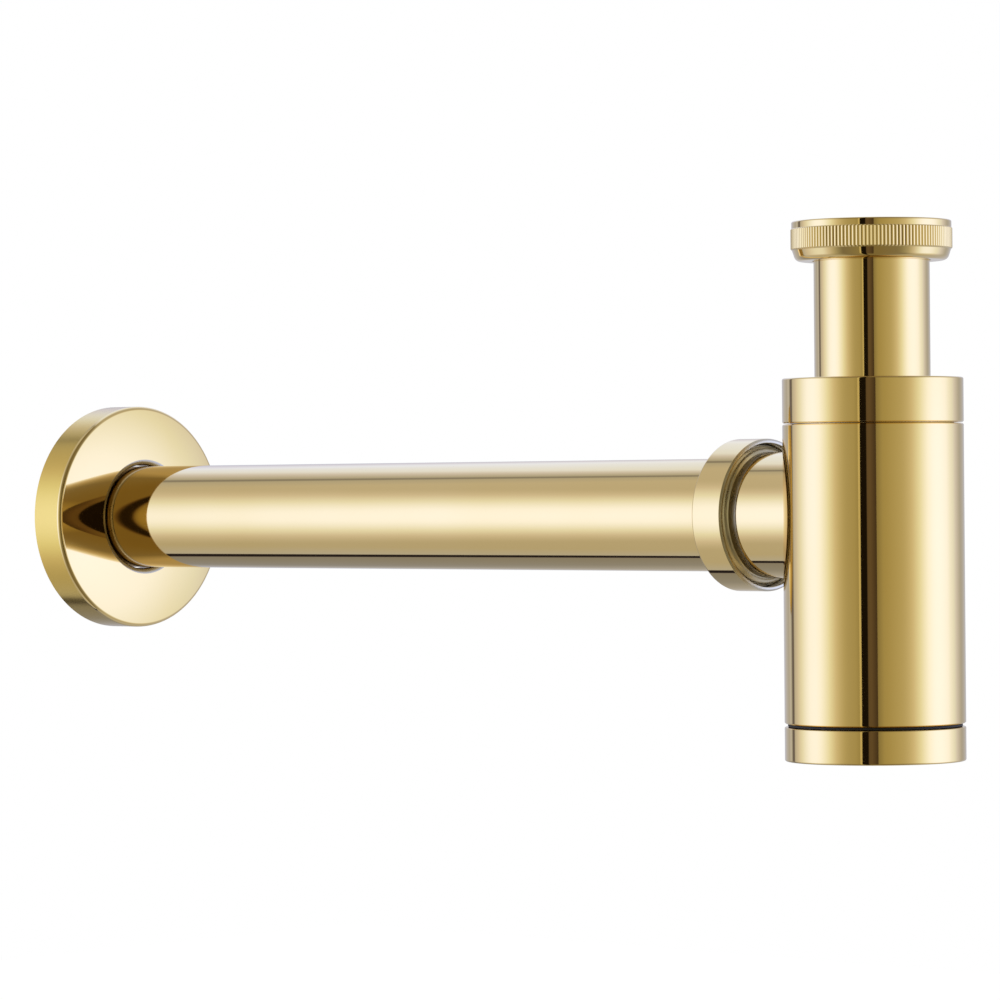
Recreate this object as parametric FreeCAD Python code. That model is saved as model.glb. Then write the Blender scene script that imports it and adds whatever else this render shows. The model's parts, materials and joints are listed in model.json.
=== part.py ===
"""Bottle trap for a washbasin, in millimetres.

The origin is the centre of the inlet nut's mouth, where its thread starts. +Z is up, towards the basin, and +Y runs
along the outlet tube to the wall. Every piece is turned about the bottle's axis or the outlet tube's.
"""
import FreeCAD
import Part
import math
import os

# Tubes
TUBE_DIAMETER = 32.0
TUBE_WALL = 1.0
INLET_TUBE_LENGTH = 124.0
OUTLET_TUBE_LENGTH = 300.0
TUBE_CLEARANCE = 0.4  # around a tube, in a hole that it slides through
SEAL_CLEARANCE = 0.1  # around a tube, in a rubber seal

# Inlet nut, on a G 1 1/4 thread
INLET_THREAD_MAJOR = 41.9
INLET_THREAD_DEPTH = 1.475
INLET_THREAD_LENGTH = 6.0
NUT_MOUTH_CHAMFER = 0.6
NUT_WALL = 1.35  # outside the thread
NUT_LIP = 1.65  # under the tube's flange
NUT_RIM_HEIGHT = 2.0  # smooth, above the knurling
NUT_RIM_STEP = 0.25  # the rim is this much smaller than the knurling
NUT_CONE_TAPER = 1.0
NUT_BASE_RADIUS = 1.8
KNURL_HEIGHT = 6.0
KNURL_COUNT = 132
KNURL_DEPTH = 0.4
TUBE_FLANGE = 1.0
WASHER_THICKNESS = 1.6
WASHER_CLEARANCE = 0.22  # between the washer or flange and the thread

# Bottle, measured from the outlet's axis
OUTLET_DROP = 80.5  # from the inlet thread down to the outlet's axis
BODY_DIAMETER = 50.0
BODY_WALL = 2.0
BODY_ABOVE_OUTLET = 25.1
BODY_BELOW_OUTLET = 57.5
WEB_THICKNESS = 2.5  # the floor of the neck
NECK_HEIGHT = 8.7
EDGE_BEVEL = 0.3
THREAD_CLEARANCE = 0.2
SEAT_GAP = 0.05  # between pieces that are pressed together

# Top cap and its seal. The neck fills what is left between the seal's pocket and the cap's skirt
CAP_HEIGHT = 12.4
CAP_WALL = 1.8
CAP_PLATE = 2.2
CAP_EDGE_RADIUS = 0.5
CAP_SEAM = 0.3
SLIP_RING = 1.4
INLET_SEAL_SECTION = 3.3
SEAL_TAPER = 1.2

# Bottom cup and its gasket
CUP_GROOVE = 1.0
CUP_HEIGHT = 9.4
CUP_FLOOR = 2.0
CUP_EDGE_RADIUS = 0.5
SPIGOT_LENGTH = 9.0
SPIGOT_WALL = 1.8
GASKET_RECESS = 0.9  # behind the bottle's outside

# Outlet branch and nut, measured from the bottle's axis along the outlet
BRANCH_WALL = 1.35
TUBE_STOP = 27.5
STOP_SHOULDER = 1.2
OUTLET_SEAL_SECTION = 2.5
OUTLET_SEAL_LENGTH = 3.5
GLAND_WALL = 1.4
GLAND_LENGTH = 6.0
OUTLET_NUT_MOUTH = 37.35
OUTLET_NUT_LENGTH = 10.6
OUTLET_NUT_WALL = 1.2
OUTLET_NUT_BACK = 1.5
OUTLET_NUT_EDGE = 0.7
OUTLET_SLIP_RING = 1.2

# Wall flange
TUBE_BEHIND_FLANGE = 20.9
FLANGE_DIAMETER = 70.0
FLANGE_DEPTH = 13.5
FLANGE_CROWN = 2.0  # how far the face stands out at its hole, past its edge
FLANGE_SHEET = 1.0
FLANGE_EDGE_RADIUS = 1.3
FLANGE_COLLAR = 6.0
FLANGE_LIP_RADIUS = 1.6

# Radii that follow from these
tube_r = TUBE_DIAMETER / 2
bore_r = tube_r - TUBE_WALL
slide_r = tube_r + TUBE_CLEARANCE
body_r = BODY_DIAMETER / 2
chamber_r = body_r - BODY_WALL
pocket_r = tube_r + SEAL_CLEARANCE + INLET_SEAL_SECTION + SEAL_CLEARANCE
neck_r = body_r - CAP_WALL - THREAD_CLEARANCE
branch_r = slide_r + BRANCH_WALL
gland_bore_r = tube_r + SEAL_CLEARANCE + OUTLET_SEAL_SECTION + SEAL_CLEARANCE
gland_r = gland_bore_r + GLAND_WALL

# Heights that follow from these
shoulder_z = -OUTLET_DROP + BODY_ABOVE_OUTLET
cap_base_z = shoulder_z + CAP_SEAM
cap_inside_z = cap_base_z + CAP_HEIGHT - CAP_PLATE
slip_base_z = cap_inside_z - SEAT_GAP - SLIP_RING
body_end_z = -OUTLET_DROP - BODY_BELOW_OUTLET
cup_rim_z = body_end_z - CUP_GROOVE
cup_base_z = cup_rim_z - CUP_HEIGHT

# Stations along the outlet that follow from these
nut_back_y = OUTLET_NUT_MOUTH + OUTLET_NUT_LENGTH
nut_seat_y = nut_back_y - OUTLET_NUT_BACK
slip_front_y = nut_seat_y - SEAT_GAP - OUTLET_SLIP_RING
seal_front_y = slip_front_y - SEAT_GAP - OUTLET_SEAL_LENGTH
gland_end_y = slip_front_y + OUTLET_SLIP_RING / 3
tube_start_y = TUBE_STOP + TUBE_WALL / 2
tube_end_y = tube_start_y + OUTLET_TUBE_LENGTH
flange_back_y = tube_end_y - TUBE_BEHIND_FLANGE
flange_front_y = flange_back_y - FLANGE_DEPTH


def rounded(before, at, after, radius):
    """The start, middle and end of the arc that rounds one corner of a profile."""
    first = (before - at).normalize()
    second = (after - at).normalize()
    half = first.getAngle(second) / 2
    inward = (first + second).normalize()
    middle = at + inward * (radius / math.sin(half) - radius)
    run = radius / math.tan(half)
    return at + first * run, middle, at + second * run


def beside(start, end, distance):
    """The point at this distance from the middle of a run, on its left."""
    run = end - start
    return (start + end) / 2 + FreeCAD.Vector(-run.z, 0, run.x).normalize() * distance


def turned(corners):
    """A solid turned about Z from corners (radius, height).

    A third number rounds that corner. A fourth is how far the run after it bows out to its left.
    """
    spots = [FreeCAD.Vector(corner[0], 0, corner[1]) for corner in corners]
    count = len(spots)
    bows = [corner[3] if len(corner) > 3 else 0 for corner in corners]
    arcs = {}
    for i, corner in enumerate(corners):
        if len(corner) > 2:
            # A bowed run leaves its corner towards a point twice as far out as its bow
            before = beside(spots[i - 1], spots[i], 2 * bows[i - 1])
            after = beside(spots[i], spots[(i + 1) % count], 2 * bows[i])
            arcs[i] = rounded(before, spots[i], after, corner[2])
    edges = []
    for i in range(count):
        following = (i + 1) % count
        start = arcs[i][2] if i in arcs else spots[i]
        end = arcs[following][0] if following in arcs else spots[following]
        if i in arcs:
            edges.append(Part.Arc(*arcs[i]).toShape())
        if bows[i]:
            left = ((end - start).Length / (spots[following] - spots[i]).Length) ** 2
            edges.append(Part.Arc(start, beside(start, end, bows[i] * left), end).toShape())
        else:
            edges.append(Part.LineSegment(start, end).toShape())
    face = Part.Face(Part.Wire(edges))
    return face.revolve(FreeCAD.Vector(0, 0, 0), FreeCAD.Vector(0, 0, 1), 360)


def along_outlet(shape):
    """Lay a piece turned about Z along the outlet's axis, with its heights counted from the bottle's axis."""
    laid = shape.copy()
    laid.rotate(FreeCAD.Vector(0, 0, 0), FreeCAD.Vector(1, 0, 0), -90)
    laid.translate(FreeCAD.Vector(0, 0, -OUTLET_DROP))
    return laid


def ring(inner, outer, low, high):
    return turned([(inner, low), (outer, low), (outer, high), (inner, high)])


def make_inlet_nut():
    """Coupling nut: a turned body, with its knurled band joined on as a prism of fine teeth."""
    thread_r = INLET_THREAD_MAJOR / 2 - INLET_THREAD_DEPTH
    relief_r = INLET_THREAD_MAJOR / 2
    tip_r = relief_r + NUT_WALL
    root_r = tip_r - KNURL_DEPTH
    top = NUT_MOUTH_CHAMFER
    knurl_top = top - NUT_RIM_HEIGHT
    knurl_base = knurl_top - KNURL_HEIGHT
    lip_top = -INLET_THREAD_LENGTH - WASHER_THICKNESS - TUBE_FLANGE - 3 * SEAT_GAP
    base = lip_top - NUT_LIP
    rim_r = tip_r - NUT_RIM_STEP
    body = turned([
        (thread_r + NUT_MOUTH_CHAMFER, top),
        (rim_r, top, NUT_WALL / 3),
        (rim_r, knurl_top),
        (root_r - KNURL_DEPTH / 4, knurl_top),
        (root_r - KNURL_DEPTH / 4, knurl_base),
        (tip_r - KNURL_DEPTH, knurl_base),
        (tip_r - KNURL_DEPTH - NUT_CONE_TAPER, base, NUT_BASE_RADIUS),
        (slide_r, base),
        (slide_r, lip_top),
        (relief_r, lip_top),
        (relief_r, -INLET_THREAD_LENGTH),
        (thread_r, -INLET_THREAD_LENGTH),
        (thread_r, 0),
    ])
    teeth = []
    for i in range(2 * KNURL_COUNT):
        angle = math.pi * i / KNURL_COUNT
        radius = tip_r if i % 2 == 0 else root_r
        teeth.append(FreeCAD.Vector(radius * math.cos(angle), radius * math.sin(angle), knurl_base))
    band = Part.Face(Part.makePolygon(teeth + teeth[:1]))
    prism = band.extrude(FreeCAD.Vector(0, 0, KNURL_HEIGHT))
    core = Part.makeCylinder((relief_r + root_r) / 2, KNURL_HEIGHT, FreeCAD.Vector(0, 0, knurl_base))
    return body.fuse(prism.cut(core)).removeSplitter()


def make_inlet_tube():
    """Dip tube, with the flange that the nut pulls up against the washer."""
    top = -INLET_THREAD_LENGTH - WASHER_THICKNESS - 2 * SEAT_GAP
    flange_r = INLET_THREAD_MAJOR / 2 - INLET_THREAD_DEPTH - WASHER_CLEARANCE
    end = top - INLET_TUBE_LENGTH
    return turned([
        (bore_r, top, TUBE_FLANGE / 2),
        (flange_r, top),
        (flange_r, top - TUBE_FLANGE),
        (tube_r, top - TUBE_FLANGE),
        (tube_r, end, TUBE_WALL / 4),
        (bore_r, end, TUBE_WALL / 4),
    ])


def make_inlet_washer():
    outer = INLET_THREAD_MAJOR / 2 - INLET_THREAD_DEPTH - WASHER_CLEARANCE
    top = -INLET_THREAD_LENGTH - SEAT_GAP
    return ring(bore_r + TUBE_WALL / 2, outer, top - WASHER_THICKNESS, top)


def make_top_cap():
    """Compression cap: a skirt that screws onto the neck, and a plate that presses the slip ring down."""
    thread_r = neck_r + THREAD_CLEARANCE
    top = cap_base_z + CAP_HEIGHT
    return turned([
        (thread_r, cap_base_z),
        (body_r - EDGE_BEVEL, cap_base_z),
        (body_r, cap_base_z + EDGE_BEVEL),
        (body_r, top, CAP_EDGE_RADIUS),
        (slide_r + EDGE_BEVEL, top),
        (slide_r, top - EDGE_BEVEL),
        (slide_r, cap_inside_z),
        (thread_r, cap_inside_z),
    ])


def make_inlet_slip_ring():
    return ring(slide_r, pocket_r - THREAD_CLEARANCE, slip_base_z, slip_base_z + SLIP_RING)


def make_inlet_seal():
    """Rubber seal in the neck. Its lower part tapers to a lip around the tube."""
    inner = tube_r + SEAL_CLEARANCE
    outer = pocket_r - SEAL_CLEARANCE
    low = shoulder_z + SEAT_GAP
    high = slip_base_z - SEAT_GAP
    return turned([
        (inner, low),
        (outer - SEAL_TAPER, low),
        (outer, low + (high - low) * 0.6),
        (outer, high),
        (inner, high),
    ])


def make_bottle_shell():
    """Bottle body: an open cylinder with a threaded neck, a web that seats the seal, and the branch's side hole."""
    shell = turned([
        (body_r - EDGE_BEVEL, body_end_z),
        (body_r, body_end_z + EDGE_BEVEL),
        (body_r, shoulder_z - EDGE_BEVEL),
        (body_r - EDGE_BEVEL, shoulder_z),
        (neck_r, shoulder_z),
        (neck_r, shoulder_z + NECK_HEIGHT, EDGE_BEVEL),
        (pocket_r, shoulder_z + NECK_HEIGHT),
        (pocket_r, shoulder_z),
        (slide_r, shoulder_z),
        (slide_r, shoulder_z - WEB_THICKNESS),
        (chamber_r, shoulder_z - WEB_THICKNESS, BODY_WALL / 2),
        (chamber_r, body_end_z),
    ])
    hole = along_outlet(Part.makeCylinder(branch_r + SEAT_GAP, body_r + BODY_WALL))
    return shell.cut(hole)


def make_outlet_branch():
    """Outlet stub: saddled to the bottle's inside, with a stop for the tube and a threaded gland for its seal."""
    stub = along_outlet(turned([
        (slide_r - STOP_SHOULDER, 0),
        (branch_r, 0),
        (branch_r, gland_end_y - GLAND_LENGTH),
        (gland_r, gland_end_y - GLAND_LENGTH, EDGE_BEVEL),
        (gland_r, gland_end_y, EDGE_BEVEL),
        (gland_bore_r, gland_end_y),
        (gland_bore_r, seal_front_y - SEAT_GAP),
        (slide_r, seal_front_y - SEAT_GAP),
        (slide_r, TUBE_STOP),
        (slide_r - STOP_SHOULDER, TUBE_STOP),
    ]))
    chamber = Part.makeCylinder(chamber_r, BODY_DIAMETER, FreeCAD.Vector(0, 0, -OUTLET_DROP - body_r))
    return stub.cut(chamber)


def make_outlet_seal():
    inner = tube_r + SEAL_CLEARANCE
    outer = inner + OUTLET_SEAL_SECTION
    back = slip_front_y - SEAT_GAP
    return along_outlet(turned([
        (inner, seal_front_y),
        (outer - OUTLET_SEAL_SECTION / 3, seal_front_y),
        (outer, seal_front_y + OUTLET_SEAL_LENGTH / 2),
        (outer, back),
        (inner, back),
    ]))


def make_outlet_slip_ring():
    outer = gland_bore_r - THREAD_CLEARANCE
    return along_outlet(ring(slide_r, outer, slip_front_y, slip_front_y + OUTLET_SLIP_RING))


def make_outlet_nut():
    """Outlet nut: open towards the bottle, so its mouth stands around the stub and shows the thread inside."""
    thread_r = gland_r + THREAD_CLEARANCE
    outer = thread_r + OUTLET_NUT_WALL
    return along_outlet(turned([
        (thread_r + EDGE_BEVEL, OUTLET_NUT_MOUTH),
        (outer, OUTLET_NUT_MOUTH, EDGE_BEVEL),
        (outer, nut_back_y, OUTLET_NUT_EDGE),
        (slide_r, nut_back_y),
        (slide_r, nut_seat_y),
        (thread_r, nut_seat_y),
        (thread_r, OUTLET_NUT_MOUTH + EDGE_BEVEL),
    ]))


def make_outlet_tube():
    return along_outlet(turned([
        (bore_r, tube_start_y),
        (tube_r, tube_start_y, TUBE_WALL / 4),
        (tube_r, tube_end_y, TUBE_WALL / 4),
        (bore_r, tube_end_y),
    ]))


def make_wall_flange():
    """Wall flange: sheet drawn into a shallow cup with a domed face, its hole rolled in to a collar on the tube."""
    outer = FLANGE_DIAMETER / 2
    rim_y = flange_front_y + FLANGE_CROWN
    collar_end = flange_front_y + FLANGE_COLLAR
    # The dome is part of a sphere around the tube's axis
    bow = FLANGE_CROWN / 4 * (outer - slide_r) / (outer + slide_r)
    return along_outlet(turned([
        (outer, flange_back_y),
        (outer, rim_y, FLANGE_EDGE_RADIUS, bow),
        (slide_r, flange_front_y, FLANGE_LIP_RADIUS),
        (slide_r, collar_end),
        (slide_r + FLANGE_SHEET, collar_end),
        (slide_r + FLANGE_SHEET, flange_front_y + FLANGE_SHEET, FLANGE_SHEET / 4, -bow),
        (outer - FLANGE_SHEET, rim_y + FLANGE_SHEET, FLANGE_SHEET / 2),
        (outer - FLANGE_SHEET, flange_back_y),
    ]))


def make_bottom_cup():
    """Cleaning cup: screwed up into the body on a spigot, with a flat base."""
    spigot_r = chamber_r - THREAD_CLEARANCE
    spigot_top = body_end_z + SPIGOT_LENGTH
    floor = cup_base_z + CUP_FLOOR
    return turned([
        (0, cup_base_z),
        (body_r, cup_base_z, CUP_EDGE_RADIUS),
        (body_r, cup_rim_z - EDGE_BEVEL),
        (body_r - EDGE_BEVEL, cup_rim_z),
        (spigot_r, cup_rim_z),
        (spigot_r, spigot_top, EDGE_BEVEL),
        (spigot_r - SPIGOT_WALL, spigot_top),
        (spigot_r - SPIGOT_WALL, floor, SPIGOT_WALL / 2),
        (0, floor),
    ])


def make_cup_gasket():
    inner = chamber_r - THREAD_CLEARANCE + SEAL_CLEARANCE
    return ring(inner, body_r - GASKET_RECESS, cup_rim_z + SEAT_GAP, body_end_z - SEAT_GAP)


PIECES = {
    "inlet_nut": make_inlet_nut,
    "inlet_washer": make_inlet_washer,
    "inlet_tube": make_inlet_tube,
    "inlet_slip_ring": make_inlet_slip_ring,
    "inlet_seal": make_inlet_seal,
    "top_cap": make_top_cap,
    "bottle_shell": make_bottle_shell,
    "outlet_branch": make_outlet_branch,
    "outlet_seal": make_outlet_seal,
    "outlet_slip_ring": make_outlet_slip_ring,
    "outlet_nut": make_outlet_nut,
    "outlet_tube": make_outlet_tube,
    "wall_flange": make_wall_flange,
    "bottom_cup": make_bottom_cup,
    "cup_gasket": make_cup_gasket,
}

os.makedirs("parts", exist_ok=True)
for name, make in PIECES.items():
    shape = make()
    solids = shape.Solids
    if len(solids) != 1 or not solids[0].isValid():
        raise ValueError(f"{name} isn't one sound solid")
    solids[0].exportStep(f"parts/{name}.step")
    box = solids[0].BoundBox
    print(f"{name:16} {solids[0].Volume:9.0f} mm3  y {box.YMin:7.2f} to {box.YMax:7.2f}"
          f"  z {box.ZMin:8.2f} to {box.ZMax:7.2f}")
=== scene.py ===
"""A polished gold bottle trap for a washbasin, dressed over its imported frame.

Every piece of the trap is turned, so each one here is a profile in millimetres, turned about the bottle's
axis or the outlet tube's, with its screw thread or knurling cut into the same skin.
"""
import json
import math
from collections import namedtuple

import bmesh
import bpy
from mathutils import Matrix, Vector


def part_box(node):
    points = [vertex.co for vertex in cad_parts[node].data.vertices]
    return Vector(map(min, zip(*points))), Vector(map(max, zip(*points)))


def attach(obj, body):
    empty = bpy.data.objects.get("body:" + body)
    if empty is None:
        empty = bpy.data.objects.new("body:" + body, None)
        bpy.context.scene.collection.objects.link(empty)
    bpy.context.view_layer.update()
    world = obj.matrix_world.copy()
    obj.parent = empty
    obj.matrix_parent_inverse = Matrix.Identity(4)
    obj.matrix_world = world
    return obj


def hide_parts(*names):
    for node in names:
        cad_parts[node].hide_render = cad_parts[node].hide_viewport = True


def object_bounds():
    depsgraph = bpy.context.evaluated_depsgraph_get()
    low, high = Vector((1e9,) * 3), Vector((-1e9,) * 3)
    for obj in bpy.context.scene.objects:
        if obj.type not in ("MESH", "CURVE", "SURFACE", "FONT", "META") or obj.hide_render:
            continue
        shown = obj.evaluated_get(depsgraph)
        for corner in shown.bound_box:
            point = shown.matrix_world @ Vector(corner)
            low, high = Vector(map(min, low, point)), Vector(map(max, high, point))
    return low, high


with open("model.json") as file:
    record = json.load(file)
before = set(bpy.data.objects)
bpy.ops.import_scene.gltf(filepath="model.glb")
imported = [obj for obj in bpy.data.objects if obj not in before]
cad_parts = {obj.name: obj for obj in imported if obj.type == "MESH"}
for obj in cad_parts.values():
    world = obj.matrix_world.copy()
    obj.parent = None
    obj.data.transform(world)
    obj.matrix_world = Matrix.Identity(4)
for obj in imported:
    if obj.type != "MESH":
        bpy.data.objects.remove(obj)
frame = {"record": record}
cad_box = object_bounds()

MM = 0.001
BODY_OF = {node: body for body, nodes in frame["record"]["behaviour"]["bodies"].items() for node in nodes}

# One corner of a profile, and the run from it to the next corner. round is the corner's radius. bow is how
# far the run bows out to its left, thread its (pitch, depth), knurl the radius that knurling cuts it down
# to, rows its number of even rows, and finish its material where that isn't the piece's own.
Corner = namedtuple(
    "Corner", "r h round bow thread knurl rows finish", defaults=(0, 0, None, None, 1, None))


def low(node):
    """The low corner of a node's box, in millimetres."""
    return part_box(node)[0] / MM


def high(node):
    """The high corner of a node's box, in millimetres."""
    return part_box(node)[1] / MM


# Walls, fits and edges in millimetres
TUBE_WALL = 1.0
BODY_WALL = 2.0
BRANCH_WALL = 1.35
NECK_STEP = 2.0
CAP_SEAM = 0.3
SLIDE_GAP = 0.4
SEAL_GAP = 0.1
RING_GAP = 0.2
THREAD_GAP = 0.2
FACE_GAP = 0.05
BEVEL = 0.3
SOFT = 0.2
TUBE_EDGE = 0.25

# Radii and heights in millimetres, from the frame
TUBE_R = high("outlet_tube").x
BORE_R = TUBE_R - TUBE_WALL
SLIDE_R = TUBE_R + SLIDE_GAP
BODY_R = high("bottle_shell").x
CHAMBER_R = BODY_R - BODY_WALL
NECK_R = BODY_R - NECK_STEP
POCKET_R = high("inlet_seal").x + SEAL_GAP
BRANCH_R = SLIDE_R + BRANCH_WALL
GLAND_R = high("outlet_branch").x
OUTLET_Z = (high("outlet_tube").z + low("outlet_tube").z) / 2

# Screw threads: pitch and depth in millimetres, and the radius inside the basin waste's G 1 1/4 thread
WASTE_THREAD = (2.309, 1.2)
WASTE_R = 19.475
CAP_THREAD = (2.0, 0.7)
CUP_THREAD = (2.0, 0.7)
GLAND_THREAD = (1.5, 0.45)

# How finely a skin is drawn
ARC_STEP = 12  # degrees of a rounded corner in each row
EDGE_HOLD = 0.06  # millimetres from a corner to the row that holds its edge
THREAD_ROWS = 16  # rows in one turn of a thread
THREAD_FADE = 0.6  # turns over which a thread runs out
ON_AXIS = 1e-6  # millimetres within which a point is on the axis
WELD = 1e-7  # metres within which points are one
SHARP_ANGLE = math.radians(32)


def linear(code):
    """A colour written as an sRGB hex value, as linear red, green, blue and alpha."""
    parts = [int(code[i:i + 2], 16) / 255 for i in (1, 3, 5)]
    return tuple(c / 12.92 if c <= 0.04045 else ((c + 0.055) / 1.055) ** 2.4 for c in parts) + (1.0,)


def add(tree, kind, inputs=(), stops=(), **settings):
    """Add a node with its settings. inputs maps a socket's name or number to a value, or to the socket it
    takes, and stops are the (position, colour) of a colour ramp."""
    made = tree.nodes.new(kind)
    for i, (position, colour) in enumerate(stops):
        # A new ramp has two stops already
        stop = made.color_ramp.elements[i] if i < 2 else made.color_ramp.elements.new(position)
        stop.position = position
        stop.color = colour
    for key, value in settings.items():
        setattr(made, key, value)
    for key, value in dict(inputs).items():
        if isinstance(value, bpy.types.NodeSocket):
            tree.links.new(value, made.inputs[key])
        else:
            made.inputs[key].default_value = value
    return made


def material(name):
    """A new material with an empty tree and its output node."""
    made = bpy.data.materials.new(name)
    made.use_nodes = True
    made.node_tree.nodes.clear()
    return made, made.node_tree, add(made.node_tree, "ShaderNodeOutputMaterial")


def gold_plated_brass(name, pale, deep, shine):
    """Brass, buffed bright and gold plated: a clean mirror, with a trace of haze where it was wiped."""
    made, tree, output = material(name)
    place = add(tree, "ShaderNodeTexCoord").outputs["Object"]
    # The plating's thickness drifts over about 40 mm, and its colour with it
    drift = add(tree, "ShaderNodeTexNoise", {"Vector": place, "Scale": 1 / (40 * MM), "Detail": 1.0})
    colour = add(tree, "ShaderNodeMix", {
        "Factor": drift.outputs["Fac"], "A": linear(deep), "B": linear(pale)}, data_type="RGBA")
    # Wiping leaves a haze in patches of about 12 mm
    haze = add(tree, "ShaderNodeTexNoise", {"Vector": place, "Scale": 1 / (12 * MM), "Detail": 3.0})
    rough = add(tree, "ShaderNodeMapRange", {
        "Value": haze.outputs["Fac"], "From Min": 0.35, "From Max": 0.75,
        "To Min": shine, "To Max": shine + 0.025})
    # Buffing leaves waves of about 6 mm, a fraction of a micrometre deep
    wave = add(tree, "ShaderNodeTexNoise", {"Vector": place, "Scale": 1 / (6 * MM), "Detail": 0.0})
    bump = add(tree, "ShaderNodeBump", {
        "Height": wave.outputs["Fac"], "Strength": 0.25, "Distance": 0.004 * MM})
    shader = add(tree, "ShaderNodeBsdfPrincipled", {
        "Base Color": colour.outputs["Result"], "Roughness": rough.outputs["Result"],
        "Normal": bump.outputs["Normal"], "Metallic": 1.0})
    tree.links.new(shader.outputs["BSDF"], output.inputs["Surface"])
    return made


def nickel_plated_brass(name, dull, bright):
    """Nickel in bores and threads, where the gold bath doesn't reach: a soft warm grey, as turned."""
    made, tree, output = material(name)
    place = add(tree, "ShaderNodeTexCoord").outputs["Object"]
    # Tarnish comes in patches of about 5 mm
    tarnish = add(tree, "ShaderNodeTexNoise", {"Vector": place, "Scale": 1 / (5 * MM), "Detail": 4.0})
    colour = add(tree, "ShaderNodeMix", {
        "Factor": tarnish.outputs["Fac"], "A": linear(dull), "B": linear(bright)}, data_type="RGBA")
    # Real tool marks are about 0.1 mm apart, drawn at 0.35 mm so that they show
    grain = add(tree, "ShaderNodeTexNoise", {"Vector": place, "Scale": 1 / (0.35 * MM), "Detail": 1.0})
    bump = add(tree, "ShaderNodeBump", {
        "Height": grain.outputs["Fac"], "Strength": 0.3, "Distance": 0.02 * MM})
    rough = add(tree, "ShaderNodeMapRange", {
        "Value": tarnish.outputs["Fac"], "To Min": 0.2, "To Max": 0.38})
    shader = add(tree, "ShaderNodeBsdfPrincipled", {
        "Base Color": colour.outputs["Result"], "Roughness": rough.outputs["Result"],
        "Normal": bump.outputs["Normal"], "Metallic": 1.0})
    tree.links.new(shader.outputs["BSDF"], output.inputs["Surface"])
    return made


def nitrile_rubber():
    """Black nitrile rubber, moulded: dull, with a fine mould grain and a grey bloom in patches."""
    made, tree, output = material("nitrile_rubber")
    place = add(tree, "ShaderNodeTexCoord").outputs["Object"]
    bloom = add(tree, "ShaderNodeTexNoise", {"Vector": place, "Scale": 1 / (4 * MM), "Detail": 3.0})
    colour = add(tree, "ShaderNodeMix", {
        "Factor": bloom.outputs["Fac"], "A": linear("#15120F"), "B": linear("#231F1B")}, data_type="RGBA")
    grain = add(tree, "ShaderNodeTexNoise", {"Vector": place, "Scale": 1 / (0.3 * MM), "Detail": 2.0})
    bump = add(tree, "ShaderNodeBump", {
        "Height": grain.outputs["Fac"], "Strength": 0.5, "Distance": 0.03 * MM})
    rough = add(tree, "ShaderNodeMapRange", {"Value": bloom.outputs["Fac"], "To Min": 0.5, "To Max": 0.72})
    shader = add(tree, "ShaderNodeBsdfPrincipled", {
        "Base Color": colour.outputs["Result"], "Roughness": rough.outputs["Result"],
        "Normal": bump.outputs["Normal"], "IOR": 1.52})
    tree.links.new(shader.outputs["BSDF"], output.inputs["Surface"])
    return made


def moulded_polyethylene():
    """White polyethylene, moulded: waxy and slightly uneven, with a soft shine."""
    made, tree, output = material("moulded_polyethylene")
    place = add(tree, "ShaderNodeTexCoord").outputs["Object"]
    flow = add(tree, "ShaderNodeTexNoise", {"Vector": place, "Scale": 1 / (8 * MM), "Detail": 2.0})
    colour = add(tree, "ShaderNodeMix", {
        "Factor": flow.outputs["Fac"], "A": linear("#DEDCD4"), "B": linear("#EDEBE4")}, data_type="RGBA")
    bump = add(tree, "ShaderNodeBump", {
        "Height": flow.outputs["Fac"], "Strength": 0.2, "Distance": 0.05 * MM})
    rough = add(tree, "ShaderNodeMapRange", {"Value": flow.outputs["Fac"], "To Min": 0.32, "To Max": 0.46})
    shader = add(tree, "ShaderNodeBsdfPrincipled", {
        "Base Color": colour.outputs["Result"], "Roughness": rough.outputs["Result"],
        "Normal": bump.outputs["Normal"], "IOR": 1.51})
    tree.links.new(shader.outputs["BSDF"], output.inputs["Surface"])
    return made


GOLD = gold_plated_brass("gold_plated_brass", "#F2D698", "#EED08C", 0.03)
# The flange's rim is buffed less, so it is softer. Its deeper, darker gold is painted shade
SHADED_GOLD = gold_plated_brass("gold_plated_brass_painted_shade", "#EBC96E", "#E4BF5E", 0.18)
NICKEL = nickel_plated_brass("nickel_plated_brass", "#A0937A", "#CBC0A8")
# The outlet nut's mouth and the corner in it are buffed with the outside, so their nickel is cleaner
BRIGHT_NICKEL = nickel_plated_brass("nickel_plated_brass_buffed", "#CDC3AA", "#E6DCC2")
RUBBER = nitrile_rubber()
PLASTIC = moulded_polyethylene()


def round_corner(before, at, after, radius):
    """Points along the arc that rounds one corner of a profile."""
    first, second = (before - at).normalized(), (after - at).normalized()
    half = first.angle(second) / 2
    centre = at + (first + second).normalized() * radius / math.sin(half)
    start = at + first * radius / math.tan(half) - centre
    end = at + second * radius / math.tan(half) - centre
    sweep = start.angle_signed(end)
    steps = max(3, math.ceil(abs(math.degrees(sweep)) / ARC_STEP))
    return [centre + Matrix.Rotation(-sweep * i / steps, 2) @ start for i in range(steps + 1)]


def beside(start, end, share, distance):
    """The point at this share of a run, moved this distance to the run's left."""
    run = end - start
    return start.lerp(end, share) + Vector((-run.y, run.x)).normalized() * distance


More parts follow.
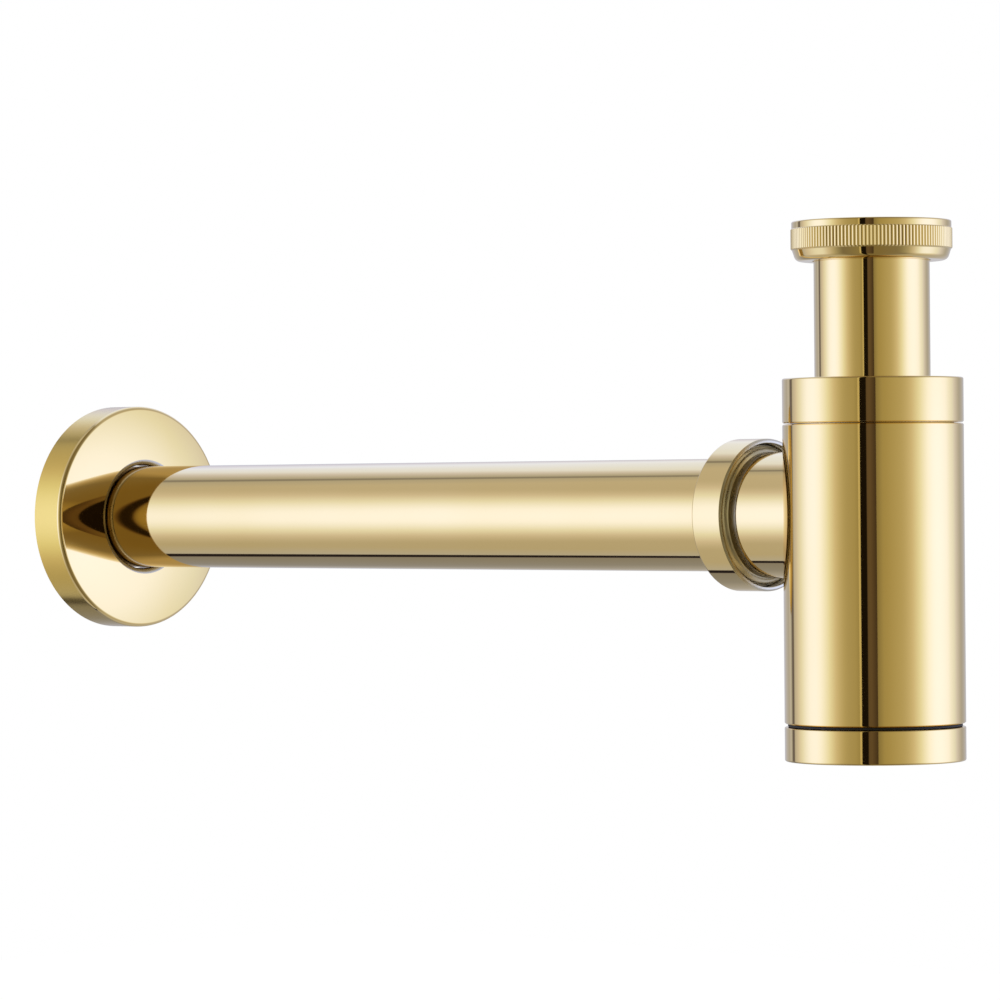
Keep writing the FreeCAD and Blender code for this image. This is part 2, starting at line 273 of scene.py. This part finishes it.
def sample(corners):
    """A profile as a list of (radius, height, the run that follows). A row close to each corner holds its
    edge."""
    spots = [Vector((c.r, c.h)) for c in corners]
    count = len(corners)
    bends = []
    for i, corner in enumerate(corners):
        if corner.round:
            # A bowed run leaves its corner towards a point twice as far out as its bow
            before = beside(spots[i - 1], spots[i], 0.5, 2 * corners[i - 1].bow)
            after = beside(spots[i], spots[(i + 1) % count], 0.5, 2 * corner.bow)
            bends.append(round_corner(before, spots[i], after, corner.round))
        else:
            bends.append([spots[i]])
    points = []
    for i, corner in enumerate(corners):
        points += [(spot.x, spot.y, corner) for spot in bends[i]]
        start, end = bends[i][-1], bends[(i + 1) % count][0]
        length = (end - start).length
        rows = corner.rows
        if corner.thread:
            rows = max(rows, math.ceil(length / corner.thread[0] * THREAD_ROWS))
        hold = min(EDGE_HOLD, length / 4)
        shares = [hold / length] + [k / rows for k in range(1, rows)] + [1 - hold / length]
        for share in sorted(shares):
            spot = beside(start, end, share, corner.bow * 4 * share * (1 - share))
            points.append((spot.x, spot.y, corner))
    return points


def cut_depth(corner, ends, radius, height, angle, tooth):
    """How far a run's thread or knurling moves its skin outwards at one point, in millimetres."""
    if corner.thread:
        pitch, depth = corner.thread
        near = min(abs(height - ends[0]), abs(height - ends[1])) / (THREAD_FADE * pitch)
        fade = min(1.0, near)
        turn = height / pitch - angle / (2 * math.pi)
        return depth * fade * (0.5 - 0.5 * math.cos(2 * math.pi * turn))
    return tooth * max(0.0, radius - corner.knurl) if corner.knurl else 0.0


def turned(node, corners, along="bottle", finish=GOLD, teeth=0, segments=256):
    """A piece turned from its profile, in place of its node. Radii and heights are in millimetres."""
    angles = [(2 * math.pi * k / segments, 0.0) for k in range(segments)]
    if teeth:
        # Each rib is rounded across its width, and the ribs meet in sharp valleys
        steps = [(share, -(2 * share - 1) ** 2) for share in (0, 1 / 6, 1 / 3, 1 / 2, 2 / 3, 5 / 6)]
        angles = [
            (2 * math.pi * (k + share) / teeth, depth) for k in range(teeth) for share, depth in steps]
    points = sample(corners)
    finishes = list(dict.fromkeys([finish] + [corner.finish for corner in corners if corner.finish]))
    spans = {}
    for _, h, corner in points:
        first, last = spans.get(id(corner), (h, h))
        spans[id(corner)] = (min(first, h), max(last, h))
    verts, rings = [], []
    for r, h, corner in points:
        ring = []
        for angle, tooth in angles if r > ON_AXIS else angles[:1]:
            cut = cut_depth(corner, spans[id(corner)], r, h, angle, tooth)
            x, y = (r + cut) * math.cos(angle), (r + cut) * math.sin(angle)
            ring.append(len(verts))
            if along == "bottle":
                verts.append((x * MM, y * MM, h * MM))
            else:
                verts.append((x * MM, h * MM, (OUTLET_Z - y) * MM))
        rings.append(ring)
    faces, slots = [], []
    for i, ring in enumerate(rings):
        other = rings[(i + 1) % len(rings)]
        if len(ring) == 1 and len(other) == 1:
            continue
        for k in range(len(angles)):
            there = [ring[step % len(ring)] for step in (k, k + 1)]
            back = [other[step % len(other)] for step in (k + 1, k)]
            faces.append(list(dict.fromkeys(there + back)))
            slots.append(finishes.index(points[i][2].finish or finish))
    mesh = bpy.data.meshes.new("turned_" + node)
    mesh.from_pydata(verts, [], faces)
    for each in finishes:
        mesh.materials.append(each)
    mesh.polygons.foreach_set("material_index", slots)
    skin = bmesh.new()
    skin.from_mesh(mesh)
    bmesh.ops.remove_doubles(skin, verts=skin.verts, dist=WELD)
    bmesh.ops.recalc_face_normals(skin, faces=skin.faces)
    skin.to_mesh(mesh)
    skin.free()
    mesh.shade_smooth()
    mesh.set_sharp_from_angle(angle=SHARP_ANGLE)
    piece = bpy.data.objects.new("turned_" + node, mesh)
    bpy.context.scene.collection.objects.link(piece)
    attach(piece, BODY_OF[node])
    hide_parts(node)
    return piece


def open_for_branch(piece):
    """Cut the branch's hole through the bottle's wall. Its stepped edge is inside the branch's wall."""
    skin = bmesh.new()
    skin.from_mesh(piece.data)
    reach = (BRANCH_R - 0.35) * MM
    gone = [face for face in skin.faces if all(
        v.co.y > 0 and math.hypot(v.co.x, v.co.z - OUTLET_Z * MM) < reach for v in face.verts)]
    bmesh.ops.delete(skin, geom=gone, context="FACES")
    edges = [edge for edge in skin.edges if edge.is_boundary]
    for edge in edges:
        edge.smooth = False
    bmesh.ops.bridge_loops(skin, edges=edges)
    bmesh.ops.recalc_face_normals(skin, faces=skin.faces)
    skin.to_mesh(piece.data)
    skin.free()


def saddle_branch(piece):
    """Draw the branch's end back to the bottle's inside, and weld the rows that meet there."""
    skin = bmesh.new()
    skin.from_mesh(piece.data)
    for vertex in skin.verts:
        vertex.co.y = max(vertex.co.y, math.sqrt((CHAMBER_R * MM) ** 2 - vertex.co.x ** 2))
    bmesh.ops.remove_doubles(skin, verts=skin.verts, dist=WELD)
    skin.to_mesh(piece.data)
    skin.free()


# Inlet nut: smooth rim, knurled band, rounded cone and the thread for the basin waste
top, base, tip = high("inlet_nut").z, low("inlet_nut").z, high("inlet_nut").x
rim_r = tip - 0.25
root_r = tip - 0.2
cone_r = tip - 1.4
relief_r = tip - 1.35
rim_end = top - 2.0
knurl_end = top - 8.0
lip = base + 1.65
thread_end = high("inlet_washer").z + FACE_GAP
turned("inlet_nut", [
    Corner(WASTE_R + 0.6, top),
    Corner(rim_r, top, 0.45),
    Corner(rim_r, rim_end, knurl=root_r),
    Corner(tip, rim_end - 0.25, knurl=root_r, rows=3),
    Corner(tip, knurl_end + 0.4, knurl=root_r),
    Corner(tip - 0.4, knurl_end),
    Corner(cone_r, base, 1.8),
    Corner(SLIDE_R, base, SOFT),
    Corner(SLIDE_R, lip, finish=NICKEL),
    Corner(relief_r, lip, finish=NICKEL),
    Corner(relief_r, thread_end, finish=NICKEL),
    Corner(WASTE_R, thread_end, thread=WASTE_THREAD, finish=NICKEL),
    Corner(WASTE_R, 0.0),
], teeth=132)

# Inlet tube, with the flange that the nut pulls up against the washer
top, base, flange_r = high("inlet_tube").z, low("inlet_tube").z, high("inlet_tube").x
turned("inlet_tube", [
    Corner(BORE_R, top, 0.6),
    Corner(flange_r, top, 0.15),
    Corner(flange_r, top - TUBE_WALL, 0.15),
    Corner(TUBE_R, top - TUBE_WALL, rows=24),
    Corner(TUBE_R, base, TUBE_EDGE),
    Corner(BORE_R, base, TUBE_EDGE, finish=NICKEL, rows=24),
])
base, top = low("inlet_washer").z, high("inlet_washer").z
turned("inlet_washer", [
    Corner(BORE_R + 0.5, base, SOFT),
    Corner(flange_r, base, SOFT),
    Corner(flange_r, top, SOFT),
    Corner(BORE_R + 0.5, top, SOFT),
], finish=RUBBER, segments=128)

# Neck: cap, slip ring and seal
base, top = low("top_cap").z, high("top_cap").z
roof = top - 2.2
turned("top_cap", [
    Corner(NECK_R + THREAD_GAP, base + 0.4),
    Corner(NECK_R + 0.5, base),
    Corner(BODY_R - BEVEL, base),
    Corner(BODY_R, base + BEVEL, rows=4),
    Corner(BODY_R, top, 0.5),
    Corner(SLIDE_R, top, BEVEL),
    Corner(SLIDE_R, roof, finish=NICKEL),
    Corner(NECK_R + THREAD_GAP, roof, thread=CAP_THREAD, finish=NICKEL),
])
base, top = low("inlet_slip_ring").z, high("inlet_slip_ring").z
turned("inlet_slip_ring", [
    Corner(SLIDE_R, base, SOFT),
    Corner(POCKET_R - RING_GAP, base, BEVEL),
    Corner(POCKET_R - RING_GAP, top, BEVEL),
    Corner(SLIDE_R, top, SOFT),
], finish=PLASTIC, segments=128)
base, top = low("inlet_seal").z, high("inlet_seal").z
turned("inlet_seal", [
    Corner(TUBE_R + SEAL_GAP, base, SOFT),
    Corner(POCKET_R - 1.3, base, BEVEL),
    Corner(POCKET_R - SEAL_GAP, base + (top - base) * 0.6, 0.5),
    Corner(POCKET_R - SEAL_GAP, top, BEVEL),
    Corner(TUBE_R + SEAL_GAP, top, SOFT),
], finish=RUBBER, segments=128)

# Bottle, with its threaded neck and the hole for the branch. Only the rows around the hole are close
base, top = low("bottle_shell").z, high("bottle_shell").z
shoulder = low("top_cap").z - CAP_SEAM
ceiling = shoulder - 2.5
under_hole, over_hole = OUTLET_Z - 19.0, OUTLET_Z + 19.0
root_r = NECK_R - CAP_THREAD[1]
shell = turned("bottle_shell", [
    Corner(BODY_R - BEVEL, base),
    Corner(BODY_R, base + BEVEL, rows=6),
    Corner(BODY_R, under_hole, rows=50),
    Corner(BODY_R, over_hole, rows=2),
    Corner(BODY_R, shoulder - BEVEL),
    Corner(BODY_R - BEVEL, shoulder),
    Corner(root_r, shoulder, thread=CAP_THREAD, finish=NICKEL),
    Corner(root_r, top, BEVEL, finish=NICKEL),
    Corner(POCKET_R, top, 0.4, finish=NICKEL),
    Corner(POCKET_R, shoulder, finish=NICKEL),
    Corner(SLIDE_R, shoulder, finish=NICKEL),
    Corner(SLIDE_R, ceiling, finish=NICKEL),
    Corner(CHAMBER_R, ceiling, 1.0, finish=NICKEL),
    Corner(CHAMBER_R, over_hole, finish=NICKEL, rows=50),
    Corner(CHAMBER_R, under_hole, finish=NICKEL, rows=6),
    Corner(CHAMBER_R, base + 11.0, thread=CUP_THREAD, finish=NICKEL),
    Corner(CHAMBER_R, base + 0.5),
    Corner(CHAMBER_R + 0.4, base),
])
open_for_branch(shell)

# Outlet branch: a stub saddled to the bottle, with a stop for the tube and a threaded gland at its end
end = high("outlet_branch").y
gland = end - 6.0
stop = low("outlet_tube").y - 0.5
stop_r = SLIDE_R - 1.2
pocket = low("outlet_seal").y - FACE_GAP
pocket_r = high("outlet_seal").x + SEAL_GAP
mouth = low("outlet_nut").y
root_r = GLAND_R - GLAND_THREAD[1]
branch = turned("outlet_branch", [
    Corner(stop_r, 0.0),
    Corner(BRANCH_R, 0.0, rows=20),
    Corner(BRANCH_R, mouth - 2.4, finish=BRIGHT_NICKEL),
    Corner(BRANCH_R, mouth + 0.1, thread=GLAND_THREAD, finish=BRIGHT_NICKEL),
    Corner(root_r, gland, thread=GLAND_THREAD, finish=BRIGHT_NICKEL),
    Corner(root_r, end, SOFT, finish=NICKEL),
    Corner(pocket_r, end, finish=NICKEL),
    Corner(pocket_r, pocket, finish=NICKEL),
    Corner(SLIDE_R, pocket, finish=NICKEL),
    Corner(SLIDE_R, stop, finish=NICKEL),
    Corner(stop_r, stop, finish=NICKEL),
], along="outlet")
saddle_branch(branch)
front, back = low("outlet_seal").y, high("outlet_seal").y
turned("outlet_seal", [
    Corner(TUBE_R + SEAL_GAP, front, SOFT),
    Corner(pocket_r - 0.95, front, SOFT),
    Corner(pocket_r - SEAL_GAP, front + 1.75, BEVEL),
    Corner(pocket_r - SEAL_GAP, back, SOFT),
    Corner(TUBE_R + SEAL_GAP, back, SOFT),
], along="outlet", finish=RUBBER, segments=128)
front, back = low("outlet_slip_ring").y, high("outlet_slip_ring").y
turned("outlet_slip_ring", [
    Corner(SLIDE_R, front, SOFT),
    Corner(pocket_r - RING_GAP, front, SOFT),
    Corner(pocket_r - RING_GAP, back, SOFT),
    Corner(SLIDE_R, back, SOFT),
], along="outlet", finish=PLASTIC, segments=128)

# Outlet nut, with the thread that shows in its open mouth
back, outer = high("outlet_nut").y, high("outlet_nut").x
web = back - 1.5
thread_r = GLAND_R + THREAD_GAP
turned("outlet_nut", [
    Corner(thread_r, mouth, SOFT, finish=BRIGHT_NICKEL),
    Corner(outer - 0.5, mouth, 0.1, finish=BRIGHT_NICKEL),
    Corner(outer, mouth + 0.5, 0.1),
    Corner(outer, back, 0.7),
    Corner(SLIDE_R, back, SOFT),
    Corner(SLIDE_R, web, finish=NICKEL),
    Corner(thread_r, web, thread=GLAND_THREAD, finish=BRIGHT_NICKEL),
    Corner(thread_r, mouth + 0.6, finish=BRIGHT_NICKEL),
], along="outlet")

# Outlet tube and wall flange
start, end = low("outlet_tube").y, high("outlet_tube").y
turned("outlet_tube", [
    Corner(BORE_R, start),
    Corner(TUBE_R, start, TUBE_EDGE, rows=40),
    Corner(TUBE_R, end, TUBE_EDGE),
    Corner(BORE_R, end, TUBE_EDGE, finish=NICKEL, rows=40),
], along="outlet")
back, outer = high("wall_flange").y, high("wall_flange").x
sheet = 1.0
crown = 2.0
front = back - 13.5
lip = front + 6.0
bow = crown / 4 * (outer - SLIDE_R) / (outer + SLIDE_R)
turned("wall_flange", [
    # The outer rim takes the darker gold, which is painted shade
    Corner(outer, back, finish=SHADED_GOLD),
    Corner(outer, front + crown, 1.3, bow=bow, rows=24),
    Corner(SLIDE_R, front, 1.6, finish=NICKEL),
    Corner(SLIDE_R, lip),
    Corner(SLIDE_R + sheet, lip, finish=NICKEL),
    Corner(SLIDE_R + sheet, front + sheet, 0.25, bow=-bow, finish=NICKEL, rows=16),
    Corner(outer - sheet, front + sheet + crown, 0.5, finish=NICKEL),
    Corner(outer - sheet, back),
], along="outlet", segments=320)

# Cleaning cup and the black gasket in its groove
base, top = low("bottom_cup").z, high("bottom_cup").z
inside = base + 2.0
rim = low("cup_gasket").z - FACE_GAP
spigot_r = CHAMBER_R - THREAD_GAP
root_r = spigot_r - CUP_THREAD[1]
cup_r = spigot_r - 1.8
turned("bottom_cup", [
    Corner(0.0, base, rows=12),
    Corner(BODY_R, base, 0.5, rows=4),
    Corner(BODY_R, rim, BEVEL),
    Corner(root_r, rim, thread=CUP_THREAD, finish=NICKEL),
    Corner(root_r, top, BEVEL, finish=NICKEL),
    Corner(cup_r, top, finish=NICKEL),
    Corner(cup_r, inside, 0.9, finish=NICKEL, rows=12),
    Corner(0.0, inside),
])
base, top = low("cup_gasket").z, high("cup_gasket").z
groove_r = BODY_R - 0.9
turned("cup_gasket", [
    Corner(spigot_r + SEAL_GAP, base, 0.1),
    Corner(groove_r, base, 0.35),
    Corner(groove_r, top, 0.35),
    Corner(spigot_r + SEAL_GAP, top, 0.1),
], finish=RUBBER, segments=192)

# Studio, in metres. Angles around the trap are in degrees from the camera's own direction, positive to
# the right
AIM = Vector((0.0, 140.33, OUTLET_Z + 4.65)) * MM
CAMERA_AZIMUTH = math.radians(-47.313)
CAMERA_RISE = math.radians(0.184)
CAMERA_ROLL = math.radians(-0.492)
CAMERA_DISTANCE = 1.4144
CAMERA_LENS = 171.96
WORLD_FILL = 0.45
FLOOR_DROP = 1.6
FLOOR_HALF = 12.0
FLOOR_GLOW = 0.62
LAMP_SIZE = 1.2
LAMP_DISTANCE = 1.9


def place_camera():
    """The photograph's own view of the trap."""
    back = Vector((math.sin(CAMERA_AZIMUTH) * math.cos(CAMERA_RISE),
                   -math.cos(CAMERA_AZIMUTH) * math.cos(CAMERA_RISE), math.sin(CAMERA_RISE)))
    right = Vector((math.cos(CAMERA_AZIMUTH), math.sin(CAMERA_AZIMUTH), 0.0))
    up = back.cross(right)
    across = right * math.cos(CAMERA_ROLL) + up * math.sin(CAMERA_ROLL)
    rise = up * math.cos(CAMERA_ROLL) - right * math.sin(CAMERA_ROLL)
    lens = bpy.data.cameras.new("camera")
    lens.sensor_width = 36.0
    lens.lens = CAMERA_LENS
    lens.clip_start = 0.01
    lens.clip_end = 100.0
    camera = bpy.data.objects.new("camera", lens)
    turn = Matrix((across, rise, back)).transposed()
    camera.matrix_world = Matrix.Translation(AIM + back * CAMERA_DISTANCE) @ turn.to_4x4()
    bpy.context.scene.collection.objects.link(camera)
    bpy.context.scene.camera = camera


def seen_as_white(tree):
    """1 for the rays that show the background: those from the camera, from metal and through glass."""
    path = add(tree, "ShaderNodeLightPath").outputs
    either = add(tree, "ShaderNodeMath", {
        0: path["Is Camera Ray"], 1: path["Is Glossy Ray"]}, operation="MAXIMUM")
    return add(tree, "ShaderNodeMath", {
        0: either.outputs["Value"], 1: path["Is Transmission Ray"]}, operation="MAXIMUM").outputs["Value"]


def light_world():
    """A white studio, plain white where it is seen and a soft fill elsewhere."""
    world = bpy.data.worlds.new("white_studio")
    bpy.context.scene.world = world
    world.use_nodes = True
    tree = world.node_tree
    tree.nodes.clear()
    strength = add(tree, "ShaderNodeMapRange", {
        "Value": seen_as_white(tree), "To Min": WORLD_FILL, "To Max": 1.0})
    sky = add(tree, "ShaderNodeBackground", {
        "Color": linear("#FFFFFF"), "Strength": strength.outputs["Result"]})
    add(tree, "ShaderNodeOutputWorld", {"Surface": sky.outputs["Background"]})


def lay_floor():
    """A pale floor, far below the trap, which hangs from the basin. It is white to the camera but keeps the
    trap's shadow."""
    made, tree, output = material("pale_floor")
    paint = add(tree, "ShaderNodeBsdfDiffuse", {"Color": linear("#F2F2F0")})
    bright = add(tree, "ShaderNodeMath", {0: seen_as_white(tree), 1: FLOOR_GLOW}, operation="MULTIPLY")
    glow = add(tree, "ShaderNodeEmission", {"Strength": bright.outputs["Value"]})
    both = add(tree, "ShaderNodeAddShader", {0: paint.outputs["BSDF"], 1: glow.outputs["Emission"]})
    tree.links.new(both.outputs["Shader"], output.inputs["Surface"])
    down = cad_box[0].z - FLOOR_DROP
    signs = ((-1, -1), (1, -1), (1, 1), (-1, 1))
    mesh = bpy.data.meshes.new("floor")
    mesh.from_pydata([(x * FLOOR_HALF, y * FLOOR_HALF, down) for x, y in signs], [], [(0, 1, 2, 3)])
    mesh.materials.append(made)
    floor = bpy.data.objects.new("floor", mesh)
    bpy.context.scene.collection.objects.link(floor)


# Brightness of the light tent's cloth along three lines around it, as (angle, brightness): dull cloth
# before the trap, a black gap for the lens, a dark seam behind the wall flange, and the white backdrop
LENS_GAP = ((-15.5, 0.02), (-10.5, 0.02), (-9, 0.22))
TENT_FOOT = (
    (-180, 0.50), (-160, 0.30), (-137.5, 0.27), (-136.5, 0.02), (-130.5, 0.02), (-129.5, 0.50), (-80, 0.54),
    (-46, 0.22), (-17.5, 0.28), *LENS_GAP, (4.5, 0.22), (60, 0.25), (85, 0.50), (120, 0.50), (180, 0.50))
TENT_MIDDLE = (
    (-180, 0.58), (-148, 0.50), (-140, 0.45), (-136.5, 0.55), (-133, 0.55), (-128.5, 0.15), (-124.5, 0.12),
    (-123, 0.50), (-112, 0.58), (-60, 0.54), (-24, 0.42), (-17.5, 0.34), *LENS_GAP, (4.5, 0.28),
    (11.5, 0.40), (32, 0.50), (120, 0.56), (141, 0.44), (180, 0.58))
TENT_TOP = (
    (-180, 0.92), (-148, 0.86), (-139, 0.66), (-129.5, 0.46), (-128.5, 0.28), (-124.5, 0.28),
    (-123.5, 0.48), (-112, 0.58), (-80, 0.56), (-46, 0.22), (-17.5, 0.28), *LENS_GAP, (4.5, 0.22),
    (60, 0.25), (85, 0.50), (137, 0.50), (180, 0.92))
# Soft boxes behind the cloth: angle, height, half their width in degrees, half their height, brightness
SOFT_BOXES = ((-81, 0.0, 50, 1.1, 0.64), (88, -0.1, 58, 1.2, 0.75))
# A flag close before the bottle, half black and half brown, and behind it a black card with a white edge
FLAG_MIDDLE = ((-15.9, 0.01), (-8.5, 0.01), (-7.5, 0.125), (-4, 0.13), (2.5, 0.07), (3.5, 0.07))
FLAG_ENDS = ((-15.9, 0.01), (-8.5, 0.01), (-7.5, 0.35), (3.5, 0.35))
CARD = ((-18.6, 0.60), (-16.3, 0.60), (-15.7, 0.01), (1.0, 0.01))
# Heights from the aim at which the middle line's brightness ends, and the top's or the foot's is reached
MIDDLE_END = 0.15
OUTER_START = 0.6
# The cloth's colour at each brightness, a third as bright as it is lit
CLOTH_TONES = (
    (0.0, "#000000"), (0.12, "#383238"), (0.3, "#595959"), (0.5, "#727272"), (0.7, "#858690"),
    (0.9, "#959EB0"), (1.13, "#A5B2DF"), (1.35, "#B0BBF3"))
# Its tint at each angle either side of the camera: warm from the room in front, daylight behind
CLOTH_TINTS = (
    (0, "#E0D59F"), (15, "#E0D59F"), (45, "#E0DBBD"), (60, "#E0DED0"), (80, "#E0E0E0"),
    (112, "#E0E0E0"), (128, "#E0E7FF"), (160, "#E0E7FF"), (180, "#E0E0E0"))
BRIGHTEST = 1.5
CLOTH_STRENGTH = 4.05
# Degrees of cloth in each face
CLOTH_STEP = 1.5
# Each cloth's hems, as (radius, height from the aim)
TENT_HEMS = ((0.0, -1.6), (1.3, -1.6), (1.3, 1.6), (0.0, 1.6))
FLAG_HEMS = ((0.28, -0.3), (0.28, 0.3))
CARD_HEMS = ((0.4, -0.3), (0.4, 0.3))


def lit_cloth(name, first, last, lines, boxes):
    """Cloth lit from behind, from the first angle to the last: even, with soft changes of brightness. lines
    are its brightness along its foot, middle and top, and boxes the soft boxes behind it."""
    made, tree, output = material(name)
    place = add(tree, "ShaderNodeTexCoord").outputs["Object"]
    parts = add(tree, "ShaderNodeSeparateXYZ", {"Vector": place}).outputs
    ahead = add(tree, "ShaderNodeMath", {0: parts["Y"], 1: -1.0}, operation="MULTIPLY").outputs["Value"]
    turn = add(tree, "ShaderNodeMath", {0: parts["X"], 1: ahead}, operation="ARCTAN2").outputs["Value"]
    around = add(tree, "ShaderNodeMapRange", {
        "Value": turn, "From Min": first, "From Max": last}).outputs["Result"]
    levels = []
    for line in lines:
        stops = [((math.radians(angle) - first) / (last - first), (grey, grey, grey, 1.0))
                 for angle, grey in line]
        levels.append(add(tree, "ShaderNodeValToRGB", {"Fac": around}, stops).outputs["Color"])
    foot, level, top = levels
    for outer, side in ((top, 1), (foot, -1)):
        share = add(tree, "ShaderNodeMapRange", {
            "Value": parts["Z"], "From Min": MIDDLE_END * side, "From Max": OUTER_START * side})
        level = add(tree, "ShaderNodeMix", {
            "Factor": share.outputs["Result"], "A": level, "B": outer}, data_type="RGBA").outputs["Result"]
    for degrees, height, width, rise, brightness in boxes:
        across = add(tree, "ShaderNodeMapRange", {
            "Value": turn, "From Min": math.radians(degrees),
            "From Max": math.radians(degrees + width)}, clamp=False)
        upward = add(tree, "ShaderNodeMapRange", {
            "Value": parts["Z"], "From Min": height, "From Max": height + rise}, clamp=False)
        spot = add(tree, "ShaderNodeCombineXYZ", {
            "X": across.outputs["Result"], "Y": upward.outputs["Result"]})
        distance = add(tree, "ShaderNodeVectorMath", {0: spot.outputs["Vector"]}, operation="LENGTH")
        glow = add(tree, "ShaderNodeMapRange", {
            "Value": distance.outputs["Value"], "To Min": brightness, "To Max": 0.0},
            interpolation_type="SMOOTHSTEP")
        level = add(tree, "ShaderNodeMath", {
            0: level, 1: glow.outputs["Result"]}, operation="ADD").outputs["Value"]
    share = add(tree, "ShaderNodeMath", {0: level, 1: BRIGHTEST}, operation="DIVIDE").outputs["Value"]
    tone = add(tree, "ShaderNodeValToRGB", {"Fac": share}, [
        (brightness / BRIGHTEST, linear(code)) for brightness, code in CLOTH_TONES])
    aside = add(tree, "ShaderNodeMath", {0: turn}, operation="ABSOLUTE").outputs["Value"]
    aside = add(tree, "ShaderNodeMapRange", {"Value": aside, "From Max": math.pi}).outputs["Result"]
    tint = add(tree, "ShaderNodeValToRGB", {"Fac": aside}, [
        (angle / 180, linear(code)) for angle, code in CLOTH_TINTS])
    colour = add(tree, "ShaderNodeMix", {
        "Factor": 1.0, "A": tone.outputs["Color"], "B": tint.outputs["Color"]},
        data_type="RGBA", blend_type="MULTIPLY").outputs["Result"]
    glow = add(tree, "ShaderNodeEmission", {"Color": colour, "Strength": CLOTH_STRENGTH})
    tree.links.new(glow.outputs["Emission"], output.inputs["Surface"])
    return made


def hang_cloth(name, hems, lines, boxes=()):
    """Lit cloth hung around the bottle's axis, as for photographs of polished metal. Only metal sees it."""
    first, last = math.radians(lines[0][0][0]), math.radians(lines[0][-1][0])
    steps = math.ceil(math.degrees(last - first) / CLOTH_STEP)
    count = len(hems)
    verts, faces = [], []
    for k in range(steps + 1):
        angle = first + (last - first) * k / steps
        verts += [(r * math.sin(angle), -r * math.cos(angle), h) for r, h in hems]
        if k:
            faces += [(i - count, i - count + 1, i + 1, i) for i in range(k * count, k * count + count - 1)]
    mesh = bpy.data.meshes.new(name)
    mesh.from_pydata(verts, [], faces)
    mesh.materials.append(lit_cloth(name + "_cloth", first, last, lines, boxes))
    cloth = bpy.data.objects.new(name, mesh)
    eye = bpy.context.scene.camera.matrix_world.translation
    facing = Matrix.Rotation(math.atan2(eye.x, -eye.y), 4, "Z")
    cloth.matrix_world = Matrix.Translation((0.0, 0.0, AIM.z)) @ facing
    cloth.visible_camera = False
    cloth.visible_diffuse = False
    cloth.visible_shadow = False
    cloth.visible_transmission = False
    bpy.context.scene.collection.objects.link(cloth)


def hang_lamp(name, degrees, rise, power):
    """A soft lamp beside the trap, at an angle from the camera's direction. Metal sees the tent instead."""
    lamp = bpy.data.lights.new(name, "AREA")
    lamp.shape = "SQUARE"
    lamp.size = LAMP_SIZE
    lamp.energy = power
    hung = bpy.data.objects.new(name, lamp)
    angle = CAMERA_AZIMUTH + math.radians(degrees)
    away = Vector((math.sin(angle) * math.cos(rise), -math.cos(angle) * math.cos(rise), math.sin(rise)))
    hung.location = AIM + away * LAMP_DISTANCE
    hung.rotation_euler = away.to_track_quat("Z", "Y").to_euler()
    hung.visible_glossy = False
    bpy.context.scene.collection.objects.link(hung)


place_camera()
light_world()
lay_floor()
hang_cloth("light_tent", TENT_HEMS, (TENT_FOOT, TENT_MIDDLE, TENT_TOP), SOFT_BOXES)
hang_cloth("flag", FLAG_HEMS, (FLAG_ENDS, FLAG_MIDDLE, FLAG_ENDS))
hang_cloth("card", CARD_HEMS, (CARD, CARD, CARD))
hang_lamp("lamp_left", -75, math.radians(35), 22)
hang_lamp("lamp_right", 95, math.radians(40), 18)
bpy.context.scene.view_settings.view_transform = "Standard"

bpy.context.view_layer.update()
